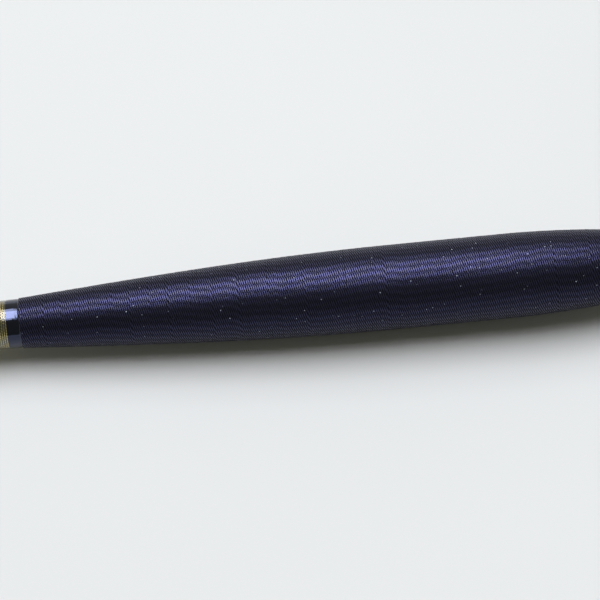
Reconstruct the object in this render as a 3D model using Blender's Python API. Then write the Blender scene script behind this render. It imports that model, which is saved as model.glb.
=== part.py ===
"""Compact telescopic herabuna rod, closed.

The butt section carries the thread-wound grip. Three tube sections and a solid tip are nested in it and draw out of
its mouth one after another. A swivelling wire loop at the tip takes the line, and a screw cap closes the butt.

The rod lies along X with its tip towards -X and +Z up. The origin is the centre of the butt cap's flat end face.
Lengths along the rod are distances from that face towards the tip, and every size is in metres.
"""

import math

import bmesh
import bpy
import numpy as np

MM = 0.001

# Clearances
GAP = 0.3 * MM  # between two pieces that are fixed to each other or rest on each other
THIN_GAP = 0.15 * MM  # the same, under a whipping, a thread or a piece as thin as that
DRAW_CLEARANCE = 0.05 * MM  # all round a section at the mouth it is drawn through, at the end of its travel
PASS_CLEARANCE = 0.4 * MM  # all round the widest inner section as it passes through the ferrule

# Sections
TAPER = 0.0026  # diameter gained for each unit of length towards the butt, on every section, inside and outside
MOUTH_FROM_BUTT = 530.0 * MM  # from the butt cap's face to the butt section's mouth
STAND_OUT = 12.0 * MM  # how far each inner section stands out of the one that holds it
BUTT_WALL = 0.75 * MM
TUBE_WALL = {"section_4": 0.6 * MM, "section_3": 0.5 * MM, "section_2": 0.45 * MM}
HELD_LENGTH = {  # what stays inside the next section when this one is drawn out
    "section_4": 75.0 * MM,
    "section_3": 70.0 * MM,
    "section_2": 65.0 * MM,
    "tip_section": 60.0 * MM,
}
TIP_FRONT_DIAMETER = 0.9 * MM

# Grip, from the front of its winding to the rear
FRONT_SWELL_LENGTH = 115.0 * MM
STRAIGHT_LENGTH = 33.0 * MM
REAR_TAPER_LENGTH = 52.0 * MM
GRIP_MAX_DIAMETER = 26.0 * MM
CORE_FRONT_WALL = 0.8 * MM
CORE_REAR_WALL = 0.65 * MM
THREAD = 0.65 * MM  # thickness of the cotton thread
TURNS = 20  # turns that are made as real thread, at the thin end
TURN_SPACE = 0.47 * MM

# Bands and whippings around the grip's ends
BAND_LENGTH = 3.4 * MM
FRONT_BAND_WALL = 1.5 * MM
REAR_BAND_WALL = 1.35 * MM
GOLD_BASE_WALL = 0.95 * MM
GOLD_THREAD = 0.28 * MM
GOLD_TURNS = 10
GOLD_SPACE = 0.47 * MM
FRONT_WHIPPING_LENGTH = 25.0 * MM
FRONT_WHIPPING_THIN_END = 0.25 * MM

# Mouths
BUTT_WHIPPING_LENGTH = 28.0 * MM
RING_LENGTH = 2.0 * MM
BARE_LENGTH = 1.35 * MM  # of each inner section, between its whipping and the mouth that it stands out of
BUTT_WHIPPING_WALL = 0.6 * MM
WHIPPING_WALL = 0.35 * MM
RING_STEP = 0.1 * MM  # how much thinner a mouth ring is than the whipping behind it

# Butt cap, ferrule and cushion
CAP_HEAD_LENGTH = 8.0 * MM
CAP_CHAMFER = 1.2 * MM
CAP_STEP = 0.3 * MM  # how much smaller the cap's head is than the ferrule's ring
FLUTE_DEPTH = 0.4 * MM
O_RING_THICKNESS = 1.0 * MM
FERRULE_RING_LENGTH = 5.4 * MM
FERRULE_RING_STEP = 1.5 * MM
FERRULE_SHOULDER = 1.0 * MM  # thickness of the ferrule's ring in front of the blank's end
SPIGOT_LENGTH = 10.0 * MM
SPIGOT_WALL = 0.6 * MM
STEM_LENGTH = 12.0 * MM
POST_RADIUS = 1.5 * MM
POST_LENGTH = 2.0 * MM
CUSHION_THICKNESS = 3.5 * MM

# Tip fitting
SOCKET_WALL = 0.4 * MM
BARE_TIP = 4.0 * MM  # between the socket and the mouth that the tip stands out of
SOCKET_WEB = 0.8 * MM
PIN_HEAD_RADIUS = 0.55 * MM
PIN_HEAD_LENGTH = 0.8 * MM
PIN_NECK_RADIUS = 0.3 * MM
SOCKET_LIP = 0.8 * MM
COLLAR_RADIUS = 0.9 * MM
COLLAR_LENGTH = 0.9 * MM
WIRE = 0.4 * MM  # thickness of the loop's wire
LOOP_RADIUS = 1.4 * MM
LOOP_FEET = 0.8 * MM  # between the two ends of the wire

# Facets
SIDES = 24  # facets of a turned piece, with one facing straight down, so that the rod lies still
CAP_SIDES = 48
FINE_SIDES = 12
SWELL_STEPS = 16
REAR_STEPS = 8
TURN_POINTS = 24  # points for one turn of thread
BEND_STEPS = 4
BEND_RATIO = 1.5  # radius of the bend at each end of a thread, in thread thicknesses
O_RING_POINTS = 8
LOOP_STEPS = 20

SLOPE = TAPER / 2

# Places along the rod, as distances from the butt cap's end face
O_RING_AT = CAP_HEAD_LENGTH + GAP + O_RING_THICKNESS / 2
FERRULE_REAR = CAP_HEAD_LENGTH + O_RING_THICKNESS + 2 * GAP
FERRULE_RING_FRONT = FERRULE_REAR + FERRULE_RING_LENGTH
BLANK_REAR = FERRULE_RING_FRONT - FERRULE_SHOULDER + GAP
SPIGOT_FRONT = FERRULE_RING_FRONT + SPIGOT_LENGTH
REAR_BAND = FERRULE_RING_FRONT + GAP
WINDING_REAR = REAR_BAND + BAND_LENGTH + GAP
WINDING_FRONT = WINDING_REAR + REAR_TAPER_LENGTH + STRAIGHT_LENGTH + FRONT_SWELL_LENGTH
FRONT_BAND = WINDING_FRONT + GAP
GOLD_BASE = FRONT_BAND + BAND_LENGTH + GAP
STEM_FRONT = CAP_HEAD_LENGTH + STEM_LENGTH
CUSHION_REAR = STEM_FRONT + GAP
CUSHION_FRONT = CUSHION_REAR + CUSHION_THICKNESS
SECTIONS_REAR = CUSHION_FRONT + GAP

MOUTH = {
    "butt_section": MOUTH_FROM_BUTT,
    "section_4": MOUTH_FROM_BUTT + STAND_OUT,
    "section_3": MOUTH_FROM_BUTT + 2 * STAND_OUT,
    "section_2": MOUTH_FROM_BUTT + 3 * STAND_OUT,
}
TIP_FRONT = MOUTH["section_2"] + STAND_OUT


def clear_scene():
    for item in list(bpy.data.objects):
        bpy.data.objects.remove(item)


def finish(name, colour, roughness, metallic=0.0):
    """A Principled material."""
    material = bpy.data.materials.new(name)
    material.use_nodes = True
    shader = material.node_tree.nodes["Principled BSDF"]
    shader.inputs["Base Color"].default_value = (*colour, 1.0)
    shader.inputs["Roughness"].default_value = roughness
    shader.inputs["Metallic"].default_value = metallic
    return material


def body(name, distance, parent=None):
    """An empty on the rod's axis that carries the pieces of one moving body."""
    empty = bpy.data.objects.new(name, None)
    bpy.context.collection.objects.link(empty)
    empty.location.x = -distance
    if parent:
        empty.parent = parent
        empty.location.x = -distance - place(parent)
    return empty


def place(empty):
    """Where an empty stands on the X axis."""
    return empty.location.x + (place(empty.parent) if empty.parent else 0.0)


def add(name, data, carrier, material):
    """A node, with its origin at its carrier's, on the rod's axis."""
    item = bpy.data.objects.new(name, data)
    bpy.context.collection.objects.link(item)
    item.parent = carrier
    item.data.materials.append(material)
    return item


def turned(name, outline, carrier, material, sides=SIDES):
    """A piece turned about the rod's axis. Its outline is a list of (distance, radius) points, as a closed ring for a
    tube, or from axis to axis for a solid piece."""
    mesh = bmesh.new()
    half_facet = math.pi / sides
    start = place(carrier)
    points = [
        mesh.verts.new((-d - start, r * math.sin(half_facet), -r * math.cos(half_facet)))
        for d, r in outline
    ]
    for a, b in zip(points, points[1:]):
        mesh.edges.new((a, b))
    if outline[0][1] > 0:
        mesh.edges.new((points[-1], points[0]))
    bmesh.ops.spin(
        mesh,
        geom=mesh.verts[:] + mesh.edges[:],
        cent=(0, 0, 0),
        axis=(1, 0, 0),
        angle=2 * math.pi,
        steps=sides,
        use_merge=True,
    )
    bmesh.ops.remove_doubles(mesh, verts=mesh.verts[:], dist=0.001 * MM)
    bmesh.ops.recalc_face_normals(mesh, faces=mesh.faces[:])
    data = bpy.data.meshes.new(name)
    mesh.to_mesh(data)
    mesh.free()
    return add(name, data, carrier, material)


def sleeve(name, rear, front, inner, outer, carrier, material, sides=SIDES):
    """A ring or tube between two distances. inner and outer are functions of the distance, or plain radii."""
    inside = inner if callable(inner) else lambda d: inner
    outside = outer if callable(outer) else lambda d: outer
    outline = [
        (rear, inside(rear)),
        (rear, outside(rear)),
        (front, outside(front)),
        (front, inside(front)),
    ]
    return turned(name, outline, carrier, material, sides)


def wire(name, points, thickness, carrier, material, resolution=1):
    """A round wire or thread through points that are given in world coordinates."""
    curve = bpy.data.curves.new(name, "CURVE")
    curve.dimensions = "3D"
    curve.bevel_depth = thickness / 2
    curve.bevel_resolution = resolution
    curve.use_fill_caps = True
    spline = curve.splines.new("POLY")
    spline.points.add(len(points) - 1)
    start = place(carrier)
    for target, (x, y, z) in zip(spline.points, points):
        target.co = (x - start, y, z, 1.0)
    return add(name, curve, carrier, material)


def winding(rear, turns, space, thickness, under):
    """Points of one thread wound on a round piece whose radius is under(distance). It starts at the rear, and each end
    bends to run straight along the rod for one thickness. The front end's distance is the second value."""
    bend = BEND_RATIO * thickness
    pitch = thickness + space
    first = rear + thickness + bend

    def point(distance, angle):
        radius = under(distance) + THIN_GAP + thickness / 2
        return (-distance, radius * math.sin(angle), -radius * math.cos(angle))

    start = math.pi / SIDES
    end = start + 2 * math.pi * turns
    last = first + pitch * turns
    points = [point(rear, start - bend / under(first))]
    for step in range(BEND_STEPS):
        turn = math.pi / 2 * step / BEND_STEPS
        angle = start - bend * math.cos(turn) / under(first)
        points.append(point(first - bend * (1 - math.sin(turn)), angle))
    for step in range(turns * TURN_POINTS + 1):
        share = step / TURN_POINTS
        points.append(point(first + pitch * share, start + 2 * math.pi * share))
    for step in range(1, BEND_STEPS + 1):
        turn = math.pi / 2 * step / BEND_STEPS
        angle = end + bend * math.sin(turn) / under(last)
        points.append(point(last + bend * (1 - math.cos(turn)), angle))
    front = last + bend + thickness
    points.append(point(front, end + bend / under(last)))
    return points, front


def winding_length(turns, space, thickness):
    """How much of the rod a thread with its two ends takes up."""
    return turns * (thickness + space) + 2 * (BEND_RATIO * thickness + thickness)


def least_gap(points, thickness):
    """The smallest space between two turns of one thread, from point to point."""
    line = np.array(points)
    away = np.linalg.norm(line[:, None] - line[None, :], axis=2)
    count = np.arange(len(line))
    near = np.abs(count[:, None] - count[None, :]) < TURN_POINTS // 2
    return away[~near].min() - thickness


def section_sizes():
    """The outer and bore radius of each section at its mouth, worked out from the tip towards the butt."""
    outer = {"tip_section": TIP_FRONT_DIAMETER / 2}
    bore = {}
    front = TIP_FRONT
    inner = "tip_section"
    for name in ("section_2", "section_3", "section_4", "butt_section"):
        rear_radius = outer[inner] + SLOPE * (front - SECTIONS_REAR)
        bore[name] = rear_radius - SLOPE * HELD_LENGTH[inner] + DRAW_CLEARANCE
        outer[name] = bore[name] + TUBE_WALL.get(name, BUTT_WALL)
        front = MOUTH[name]
        inner = name
    return outer, bore


OUTER, BORE = section_sizes()


def blank_radius(distance):
    """Outer radius of the butt blank."""
    return OUTER["butt_section"] + SLOPE * (MOUTH_FROM_BUTT - distance)


SECTION_4_REAR_RADIUS = OUTER["section_4"] + SLOPE * (MOUTH["section_4"] - SECTIONS_REAR)
FERRULE_BORE = SECTION_4_REAR_RADIUS + PASS_CLEARANCE
SPIGOT_BORE = blank_radius(BLANK_REAR) + GAP
SPIGOT_RADIUS = SPIGOT_BORE + SPIGOT_WALL
FERRULE_RADIUS = SPIGOT_RADIUS + FERRULE_RING_STEP
CAP_RADIUS = FERRULE_RADIUS - CAP_STEP
GRIP_REAR_RADIUS = SPIGOT_RADIUS + GAP + CORE_REAR_WALL + THIN_GAP + THREAD
GRIP_FRONT_RADIUS = blank_radius(WINDING_FRONT) + GAP + CORE_FRONT_WALL + THIN_GAP + THREAD


def grip_radius(distance):
    """Outer radius of the winding: a sine swell, a straight stretch and a parabola towards the butt."""
    widest = GRIP_MAX_DIAMETER / 2
    behind_front = WINDING_FRONT - distance
    if behind_front < FRONT_SWELL_LENGTH:
        swell = math.sin(math.pi / 2 * behind_front / FRONT_SWELL_LENGTH)
        return GRIP_FRONT_RADIUS + (widest - GRIP_FRONT_RADIUS) * swell
    past = behind_front - FRONT_SWELL_LENGTH - STRAIGHT_LENGTH
    if past < 0:
        return widest
    return widest - (widest - GRIP_REAR_RADIUS) * (past / REAR_TAPER_LENGTH) ** 2


def core_radius(distance):
    """Outer radius of the core that the thread is wound on."""
    return grip_radius(distance) - THREAD - THIN_GAP


def grip_places(rear, front):
    """Distances at which the grip's outline has a point, closer together where it curves more."""
    straight_rear = WINDING_REAR + REAR_TAPER_LENGTH
    straight_front = straight_rear + STRAIGHT_LENGTH
    places = list(np.linspace(WINDING_REAR, straight_rear, REAR_STEPS + 1))
    places += list(np.linspace(straight_front, WINDING_FRONT, SWELL_STEPS + 1))
    between = [d for d in places if rear < d < front]
    return [rear, *between, front]


def make_finishes():
    return {
        "blank": finish("blank_lacquer", (0.020, 0.016, 0.014), 0.18),
        "band": finish("black_lacquer", (0.008, 0.008, 0.010), 0.08),
        "core": finish("core", (0.45, 0.32, 0.20), 0.8),
        "thread": finish("navy_thread", (0.028, 0.028, 0.058), 0.75),
        "gold": finish("gold_thread", (0.55, 0.47, 0.22), 0.35, 0.6),
        "base": finish("dark_whipping", (0.030, 0.028, 0.018), 0.2),
        "whipping": finish("whipping", (0.016, 0.016, 0.020), 0.15),
        "ring": finish("ring_metal", (0.60, 0.48, 0.24), 0.25, 1.0),
        "metal": finish("dark_metal", (0.16, 0.16, 0.17), 0.3, 1.0),
        "steel": finish("wire_steel", (0.70, 0.70, 0.70), 0.25, 1.0),
        "rubber": finish("rubber", (0.020, 0.020, 0.020), 0.8),
        "tip": finish("tip_lacquer", (0.10, 0.018, 0.012), 0.2),
    }


def make_butt_blank(carrier, finishes):
    sleeve(
        "butt_blank",
        BLANK_REAR,
        MOUTH_FROM_BUTT,
        lambda d: blank_radius(d) - BUTT_WALL,
        blank_radius,
        carrier,
        finishes["blank"],
    )


def make_ferrule(carrier, finishes):
    """The threaded socket: a ring behind the grip, with a spigot over the blank's end."""
    outline = [
        (FERRULE_REAR, FERRULE_BORE),
        (FERRULE_REAR, FERRULE_RADIUS),
        (FERRULE_RING_FRONT, FERRULE_RADIUS),
        (FERRULE_RING_FRONT, SPIGOT_RADIUS),
        (SPIGOT_FRONT, SPIGOT_RADIUS),
        (SPIGOT_FRONT, SPIGOT_BORE),
        (FERRULE_RING_FRONT - FERRULE_SHOULDER, SPIGOT_BORE),
        (FERRULE_RING_FRONT - FERRULE_SHOULDER, FERRULE_BORE),
    ]
    turned("butt_ferrule", outline, carrier, finishes["metal"])


def make_grip(carrier, finishes):
    """The shaped core, the turns that are real thread, and the sleeve that stands for the other turns."""
    turns_rear = WINDING_FRONT - GAP - winding_length(TURNS, TURN_SPACE, THREAD)
    bored_to = SPIGOT_FRONT + GAP
    core = [(d, core_radius(d)) for d in grip_places(WINDING_REAR, WINDING_FRONT)]
    core += [
        (WINDING_FRONT, blank_radius(WINDING_FRONT) + GAP),
        (bored_to, blank_radius(bored_to) + GAP),
        (bored_to, SPIGOT_RADIUS + GAP),
        (WINDING_REAR, SPIGOT_RADIUS + GAP),
    ]
    turned("grip_core", core, carrier, finishes["core"])

    sleeve_front = turns_rear - GAP
    outside = [(d, grip_radius(d)) for d in grip_places(WINDING_REAR, sleeve_front)]
    inside = [(d, r - THREAD) for d, r in reversed(outside)]
    turned("grip_winding", outside + inside, carrier, finishes["thread"])

    points, _ = winding(turns_rear, TURNS, TURN_SPACE, THREAD, core_radius)
    wire("grip_winding_turns", points, THREAD, carrier, finishes["thread"])
    print(f"grip_winding_turns: least gap {least_gap(points, THREAD) / MM:.3f} mm")


def make_bands(carrier, finishes):
    """The lacquered bands at both ends of the winding, the gold thread and the whipping in front of it."""
    sleeve(
        "rear_lacquer_band",
        REAR_BAND,
        REAR_BAND + BAND_LENGTH,
        SPIGOT_RADIUS + GAP,
        SPIGOT_RADIUS + GAP + REAR_BAND_WALL,
        carrier,
        finishes["band"],
    )
    under = blank_radius(FRONT_BAND) + GAP
    sleeve(
        "front_lacquer_band",
        FRONT_BAND,
        FRONT_BAND + BAND_LENGTH,
        under,
        under + FRONT_BAND_WALL,
        carrier,
        finishes["band"],
    )
    base_radius = under + GOLD_BASE_WALL
    gold_rear = GOLD_BASE + GAP
    points, gold_front = winding(gold_rear, GOLD_TURNS, GOLD_SPACE, GOLD_THREAD, lambda d: base_radius)
    base_front = gold_front + GAP
    sleeve(
        "gold_whipping_base",
        GOLD_BASE,
        base_front,
        under,
        base_radius,
        carrier,
        finishes["base"],
    )
    wire("gold_thread_wrap", points, GOLD_THREAD, carrier, finishes["gold"])
    print(f"gold_thread_wrap: least gap {least_gap(points, GOLD_THREAD) / MM:.3f} mm")

    rear = base_front + GAP
    front = rear + FRONT_WHIPPING_LENGTH
    thick = base_radius - blank_radius(rear) - THIN_GAP

    def outside(distance):
        share = (distance - rear) / FRONT_WHIPPING_LENGTH
        wall = thick + (FRONT_WHIPPING_THIN_END - thick) * share
        return blank_radius(distance) + THIN_GAP + wall

    sleeve(
        "front_whipping",
        rear,
        front,
        lambda d: blank_radius(d) + THIN_GAP,
        outside,
        carrier,
        finishes["whipping"],
    )


def make_mouth(prefix, section, whipping_length, wall, carrier, finishes):
    """The whipping and the metal ring at a section's mouth, around its blank."""
    mouth = MOUTH[section]
    ring_rear = mouth - RING_LENGTH

    def around(distance):
        return OUTER[section] + SLOPE * (mouth - distance) + THIN_GAP

    sleeve(
        f"{prefix}mouth_ring",
        ring_rear,
        mouth,
        around,
        around(mouth) + wall - RING_STEP,
        carrier,
        finishes["ring"],
    )
    front = ring_rear - THIN_GAP
    rear = front - whipping_length
    sleeve(
        f"{prefix}mouth_whipping",
        rear,
        front,
        around,
        around(rear) + wall,
        carrier,
        finishes["whipping"],
    )


def make_tube_section(section, carrier, finishes):
    """One inner tube with its mouth."""
    mouth = MOUTH[section]
    sleeve(
        f"{section}_blank",
        SECTIONS_REAR,
        mouth,
        lambda d: BORE[section] + SLOPE * (mouth - d),
        lambda d: OUTER[section] + SLOPE * (mouth - d),
        carrier,
        finishes["blank"],
    )
    whipping_length = STAND_OUT - BARE_LENGTH - RING_LENGTH - THIN_GAP
    make_mouth(f"{section}_", section, whipping_length, WHIPPING_WALL, carrier, finishes)


def make_cushion(carrier, finishes):
    """The pad that the inner sections rest on, with a hole for the cap's post."""
    hole = POST_RADIUS + GAP
    hole_end = STEM_FRONT + POST_LENGTH + GAP
    outline = [
        (CUSHION_FRONT, 0.0),
        (CUSHION_FRONT, SECTION_4_REAR_RADIUS),
        (CUSHION_REAR, SECTION_4_REAR_RADIUS),
        (CUSHION_REAR, hole),
        (hole_end, hole),
        (hole_end, 0.0),
    ]
    turned("cushion_pad", outline, carrier, finishes["rubber"])


def make_cap(carrier, finishes):
    """The fluted head, the stem that screws into the ferrule and the post for the cushion, in one piece."""
    stem = FERRULE_BORE - GAP
    outline = [
        (0.0, 0.0),
        (0.0, CAP_RADIUS - CAP_CHAMFER),
        (CAP_CHAMFER, CAP_RADIUS),
        (CAP_HEAD_LENGTH, CAP_RADIUS),
        (CAP_HEAD_LENGTH, stem),
        (STEM_FRONT, stem),
        (STEM_FRONT, POST_RADIUS),
        (STEM_FRONT + POST_LENGTH, POST_RADIUS),
        (STEM_FRONT + POST_LENGTH, 0.0),
    ]
    cap = turned("butt_cap", outline, carrier, finishes["metal"], CAP_SIDES)
    facet = 2 * math.pi / CAP_SIDES
    for vertex in cap.data.vertices:
        radius = math.hypot(vertex.co.y, vertex.co.z)
        column = round(math.atan2(vertex.co.y, -vertex.co.z) / facet - 0.5)
        if radius > CAP_RADIUS - 0.5 * CAP_CHAMFER and column % 2:
            vertex.co.y *= 1 - FLUTE_DEPTH / radius
            vertex.co.z *= 1 - FLUTE_DEPTH / radius

    middle = stem + GAP + O_RING_THICKNESS / 2
    around = [2 * math.pi * k / O_RING_POINTS for k in range(O_RING_POINTS)]
    half = O_RING_THICKNESS / 2
    round_outline = [(O_RING_AT + half * math.cos(a), middle + half * math.sin(a)) for a in around]
    turned("cap_o_ring", round_outline, carrier, finishes["rubber"])


def make_tip(tip_carrier, swivel_carrier, finishes):
    """The solid tip, the socket on its front end, and the pin and wire loop that turn in the socket."""
    front_radius = OUTER["tip_section"]

    def tip_radius(distance):
        return front_radius + SLOPE * (TIP_FRONT - distance)

    rear_radius = tip_radius(SECTIONS_REAR)
    turned(
        "tip_blank",
        [(SECTIONS_REAR, 0.0), (SECTIONS_REAR, rear_radius), (TIP_FRONT, front_radius), (TIP_FRONT, 0.0)],
        tip_carrier,
        finishes["tip"],
        FINE_SIDES,
    )
    socket_rear = MOUTH["section_2"] + BARE_TIP
    web_front = TIP_FRONT + THIN_GAP + SOCKET_WEB
    lip_rear = web_front + PIN_HEAD_LENGTH + 2 * THIN_GAP
    socket_front = lip_rear + SOCKET_LIP
    hollow = tip_radius(socket_rear) + THIN_GAP
    chamber = PIN_HEAD_RADIUS + THIN_GAP
    outside = max(hollow, chamber) + SOCKET_WALL
    turned(
        "swivel_socket",
        [
            (TIP_FRONT + THIN_GAP, 0.0),
            (TIP_FRONT + THIN_GAP, hollow),
            (socket_rear, hollow),
            (socket_rear, outside),
            (socket_front, outside),
            (socket_front, PIN_NECK_RADIUS + THIN_GAP),
            (lip_rear, PIN_NECK_RADIUS + THIN_GAP),
            (lip_rear, chamber),
            (web_front, chamber),
            (web_front, 0.0),
        ],
        tip_carrier,
        finishes["steel"],
        FINE_SIDES,
    )
    head_rear = web_front + THIN_GAP
    head_front = head_rear + PIN_HEAD_LENGTH
    collar_rear = socket_front + THIN_GAP
    collar_front = collar_rear + COLLAR_LENGTH
    turned(
        "swivel_pin",
        [
            (head_rear, 0.0),
            (head_rear, PIN_HEAD_RADIUS),
            (head_front, PIN_HEAD_RADIUS),
            (head_front, PIN_NECK_RADIUS),
            (collar_rear, PIN_NECK_RADIUS),
            (collar_rear, COLLAR_RADIUS),
            (collar_front, COLLAR_RADIUS),
            (collar_front, 0.0),
        ],
        swivel_carrier,
        finishes["steel"],
        FINE_SIDES,
    )
    foot = collar_front + THIN_GAP
    opening = math.asin(LOOP_FEET / 2 / LOOP_RADIUS)
    centre = foot + WIRE + LOOP_RADIUS * math.cos(opening)
    sweep = 2 * math.pi - 2 * opening
    angles = [opening + sweep * k / LOOP_STEPS for k in range(LOOP_STEPS + 1)]
    ring = [(centre - LOOP_RADIUS * math.cos(a), LOOP_RADIUS * math.sin(a)) for a in angles]
    route = [(foot, LOOP_FEET / 2), *ring, (foot, -LOOP_FEET / 2)]
    points = [(-d, 0.0, z) for d, z in route]
    wire("line_loop", points, WIRE, swivel_carrier, finishes["steel"])


def make_rod():
    clear_scene()
    finishes = make_finishes()
    butt = body("butt_section_body", 0.0)
    cushion = body("cushion_body", CUSHION_REAR, butt)
    cap = body("butt_cap_body", CAP_HEAD_LENGTH, cushion)
    section_4 = body("section_4_body", MOUTH["section_4"], butt)
    section_3 = body("section_3_body", MOUTH["section_3"], section_4)
    section_2 = body("section_2_body", MOUTH["section_2"], section_3)
    tip = body("tip_body", TIP_FRONT, section_2)
    swivel = body("swivel_body", TIP_FRONT, tip)

    make_butt_blank(butt, finishes)
    make_ferrule(butt, finishes)
    make_grip(butt, finishes)
    make_bands(butt, finishes)
    make_mouth("", "butt_section", BUTT_WHIPPING_LENGTH, BUTT_WHIPPING_WALL, butt, finishes)
    make_cushion(cushion, finishes)
    make_cap(cap, finishes)
    make_tube_section("section_4", section_4, finishes)
    make_tube_section("section_3", section_3, finishes)
    make_tube_section("section_2", section_2, finishes)
    make_tip(tip, swivel, finishes)


make_rod()
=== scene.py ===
import math

import bpy
import numpy as np
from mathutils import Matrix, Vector


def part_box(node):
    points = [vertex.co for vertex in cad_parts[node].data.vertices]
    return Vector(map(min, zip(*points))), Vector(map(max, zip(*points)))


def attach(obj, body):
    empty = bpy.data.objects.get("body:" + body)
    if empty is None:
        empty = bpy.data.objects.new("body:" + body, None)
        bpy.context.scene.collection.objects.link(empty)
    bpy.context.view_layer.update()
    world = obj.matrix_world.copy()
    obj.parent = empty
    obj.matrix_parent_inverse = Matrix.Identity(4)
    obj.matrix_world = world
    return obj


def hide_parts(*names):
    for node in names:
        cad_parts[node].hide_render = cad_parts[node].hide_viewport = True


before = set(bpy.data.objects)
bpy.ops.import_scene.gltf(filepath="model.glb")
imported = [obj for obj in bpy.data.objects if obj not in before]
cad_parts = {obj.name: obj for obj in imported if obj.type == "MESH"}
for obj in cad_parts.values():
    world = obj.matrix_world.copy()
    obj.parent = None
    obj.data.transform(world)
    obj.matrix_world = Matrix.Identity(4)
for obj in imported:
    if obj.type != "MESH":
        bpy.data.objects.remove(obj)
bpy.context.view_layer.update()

# Butt tube. The outermost of the rod's tapered carbon tubes: every other piece is fixed to it or slides
# in it. It is rolled on a steel mandrel, ground, and dipped in deep brown lacquer that is polished to a
# wet gloss.
MM = 0.001
TUBE_SIDES = 96
TUBE_LIP = 0.15 * MM
AT_END = 0.05 * MM  # how near an end a corner of the frame belongs to it
WELD = 0.002 * MM  # corners nearer than this become one
FIBRE_LENGTH = 30 * MM  # length of a streak in the carbon under the lacquer
FIBRE_WIDTH = 0.6 * MM
LACQUER_RIPPLE = 5 * MM  # size of the faint waves that polishing leaves in thick lacquer


def linear(hex_colour):
    """A written sRGB colour as Blender's linear one."""
    written = [int(hex_colour[i : i + 2], 16) / 255 for i in (1, 3, 5)]
    return [c / 12.92 if c <= 0.04045 else ((c + 0.055) / 1.055) ** 2.4 for c in written] + [1.0]


def finish(name, sockets):
    """A Principled material with these socket values, as its node tree and its shader."""
    material = bpy.data.materials.new(name)
    material.use_nodes = True
    shader = material.node_tree.nodes["Principled BSDF"]
    for socket, value in sockets.items():
        shader.inputs[socket].default_value = value
    return material, material.node_tree, shader


def add_node(tree, kind, inputs, **settings):
    """Adds a node. Each of its inputs takes a value, an output, or a node whose first output is linked."""
    node = tree.nodes.new("ShaderNode" + kind)
    for setting, value in settings.items():
        setattr(node, setting, value)
    for socket, value in inputs.items():
        if isinstance(value, bpy.types.Node):
            value = value.outputs[0]
        if isinstance(value, bpy.types.NodeSocket):
            tree.links.new(value, node.inputs[socket])
        else:
            node.inputs[socket].default_value = value
    return node


def feed(shader, socket, node):
    """Links a node's first output to one of a shader's sockets."""
    shader.id_data.links.new(node.outputs[0], shader.inputs[socket])


def corners_of(name):
    """How far each corner of a CAD node is from the butt, and how far from the rod's axis."""
    points = np.array([v.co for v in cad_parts[name].data.vertices])
    return -points[:, 0], np.hypot(points[:, 1], points[:, 2])


def end_of(name, side):
    """Distance from the butt, bore radius and outer radius of a turned node, at its rear or its front end."""
    distance, radius = corners_of(name)
    at = distance.min() if side == "rear" else distance.max()
    there = radius[abs(distance - at) < AT_END]
    return float(at), float(there.min()), float(there.max())


def bevel(piece, width, segments, sharp=35):
    """Rounds the edges of the active piece where its faces meet at more than this angle."""
    rounding = piece.modifiers.new("rounded edges", "BEVEL")
    rounding.width = width
    rounding.segments = segments
    rounding.limit_method = "ANGLE"
    rounding.angle_limit = math.radians(sharp)
    bpy.ops.object.modifier_apply(modifier=rounding.name)


def turned(name, outline, sides=TUBE_SIDES, edge=0.0, sharp=35):
    """A piece turned about the rod's axis, spun from an outline of (distance, radius) points."""
    bpy.ops.mesh.primitive_plane_add(size=MM)
    piece = bpy.context.object
    piece.name = piece.data.name = name
    bpy.ops.object.mode_set(mode="EDIT")
    bpy.ops.mesh.select_mode(type="VERT")
    bpy.ops.mesh.merge(type="CENTER")
    bpy.ops.transform.translate(value=(-outline[0][0], 0, outline[0][1]))
    for (d, r), (next_d, next_r) in zip(outline, outline[1:]):
        step = (d - next_d, 0, next_r - r)
        bpy.ops.mesh.extrude_region_move(TRANSFORM_OT_translate={"value": step})
    bpy.ops.mesh.select_all(action="SELECT")
    bpy.ops.mesh.spin(steps=sides, angle=2 * math.pi, center=(0, 0, 0), axis=(1, 0, 0))
    bpy.ops.mesh.select_all(action="SELECT")
    bpy.ops.mesh.remove_doubles(threshold=WELD)
    bpy.ops.mesh.normals_make_consistent(inside=False)
    bpy.ops.object.mode_set(mode="OBJECT")
    if edge:
        bevel(piece, edge, 3, sharp)
    bpy.ops.object.shade_smooth_by_angle(angle=math.radians(sharp))
    return piece


def tube(name, node, edge=TUBE_LIP):
    """A tapered tube in place of a tube node, with rounded lips."""
    rear, rear_bore, rear_radius = end_of(node, "rear")
    front, front_bore, front_radius = end_of(node, "front")
    outline = [
        (rear, rear_bore),
        (rear, rear_radius),
        (front, front_radius),
        (front, front_bore),
        (rear, rear_bore),
    ]
    return turned(name, outline, edge=edge)


def fit(piece, body, material, slot, *nodes):
    """Gives a piece its finish, the body that it rides on and the CAD nodes that it stands for."""
    piece.data.materials.append(material)
    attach(piece, body)
    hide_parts(*nodes)


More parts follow.
